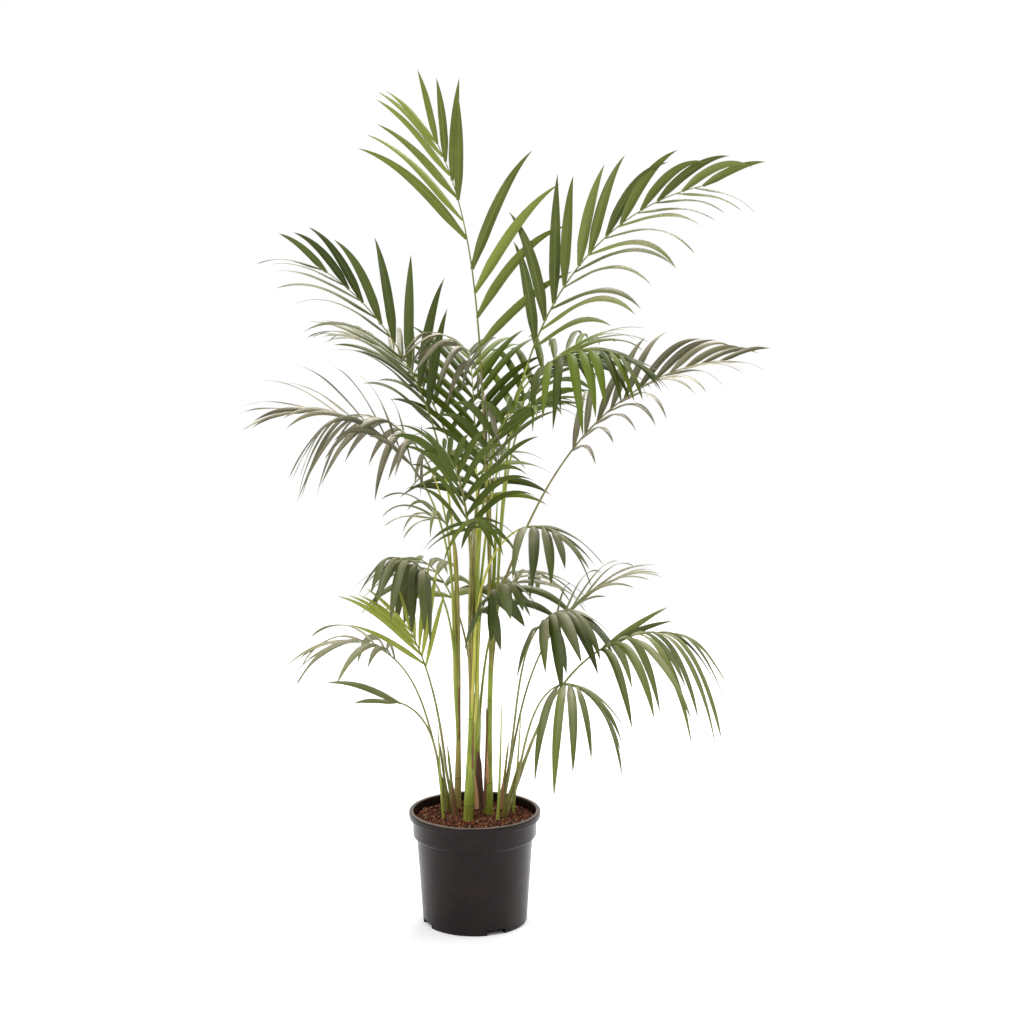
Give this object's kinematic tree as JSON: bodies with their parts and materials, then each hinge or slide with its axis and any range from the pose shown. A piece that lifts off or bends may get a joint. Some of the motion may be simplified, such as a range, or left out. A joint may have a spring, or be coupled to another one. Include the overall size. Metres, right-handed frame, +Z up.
{
  "type": "potted areca palm",
  "caption": "Potted areca palm with ring-marked green canes, young shoots and arching feather fronds in a black nursery pot.",
  "frame": {"origin": "centre of the pot's flat underside, at ground level", "axes": "+Z up along the canes, +X to the right seen from the front, the front towards -Y"},
  "size_m": [0.9377, 0.7931, 1.5374],
  "materials": {
    "aged_cane_skin": "yellow-brown, speckled",
    "cane_skin": "smooth green, ring marked",
    "leaf_bright": "semi-matt leaf",
    "dry_sheath": "dry fibrous",
    "pot_plastic": "satin moulded",
    "potting_mix": "coarse crumbs",
    "leaf_mid": "semi-matt leaf",
    "leaf_deep": "semi-matt leaf",
    "leaf_dusty": "matt greyish leaf",
    "leaf_fresh": "semi-matt young leaf"
  },
  "bodies": {
    "root": {"cane_left": "aged_cane_skin", "cane_front": "cane_skin", "cane_right": "cane_skin", "cane_back": "cane_skin", "shoot_left_a": "cane_skin", "shoot_left_b": "cane_skin", "shoot_right_a": "aged_cane_skin", "shoot_right_b": "cane_skin", "spike_centre": "leaf_bright", "spike_left": "leaf_bright", "spike_right": "leaf_bright", "dead_sheath": "dry_sheath", "pot": "pot_plastic", "soil": "potting_mix", "stalk_left_low": "cane_skin", "stalk_front_right": "cane_skin", "stalk_back_mid": "cane_skin", "stalk_back_low_left": "cane_skin", "stalk_back_low_right": "cane_skin", "frond_top_left": "leaf_bright", "frond_top_right": "leaf_mid", "frond_upper_left": "leaf_deep", "frond_arch_left": "leaf_dusty", "frond_left_reach": "leaf_dusty", "frond_left_low": "leaf_dusty", "frond_right_reach": "leaf_dusty", "frond_front_right": "leaf_mid", "frond_front_mid": "leaf_deep", "frond_front_high": "leaf_mid", "frond_inner_left": "leaf_mid", "frond_inner_right": "leaf_mid", "frond_left_thin": "leaf_mid", "frond_left_mid": "leaf_deep", "frond_front_low": "leaf_deep", "frond_low_right_in": "leaf_deep", "frond_low_right_back": "leaf_mid", "frond_low_right_out": "leaf_mid", "frond_low_right_hand": "leaf_mid", "frond_low_left_arch": "leaf_mid", "frond_low_left_pair": "leaf_mid", "frond_low_left_fresh": "leaf_fresh", "frond_back_high": "leaf_mid", "frond_back_left": "leaf_deep", "frond_back_right": "leaf_mid", "frond_back_mid": "leaf_mid", "frond_back_low_left": "leaf_mid", "frond_back_low_right": "leaf_deep", "frond_low_right_spray": "leaf_mid", "frond_front_belt": "leaf_mid"}
  },
  "joints": []
}
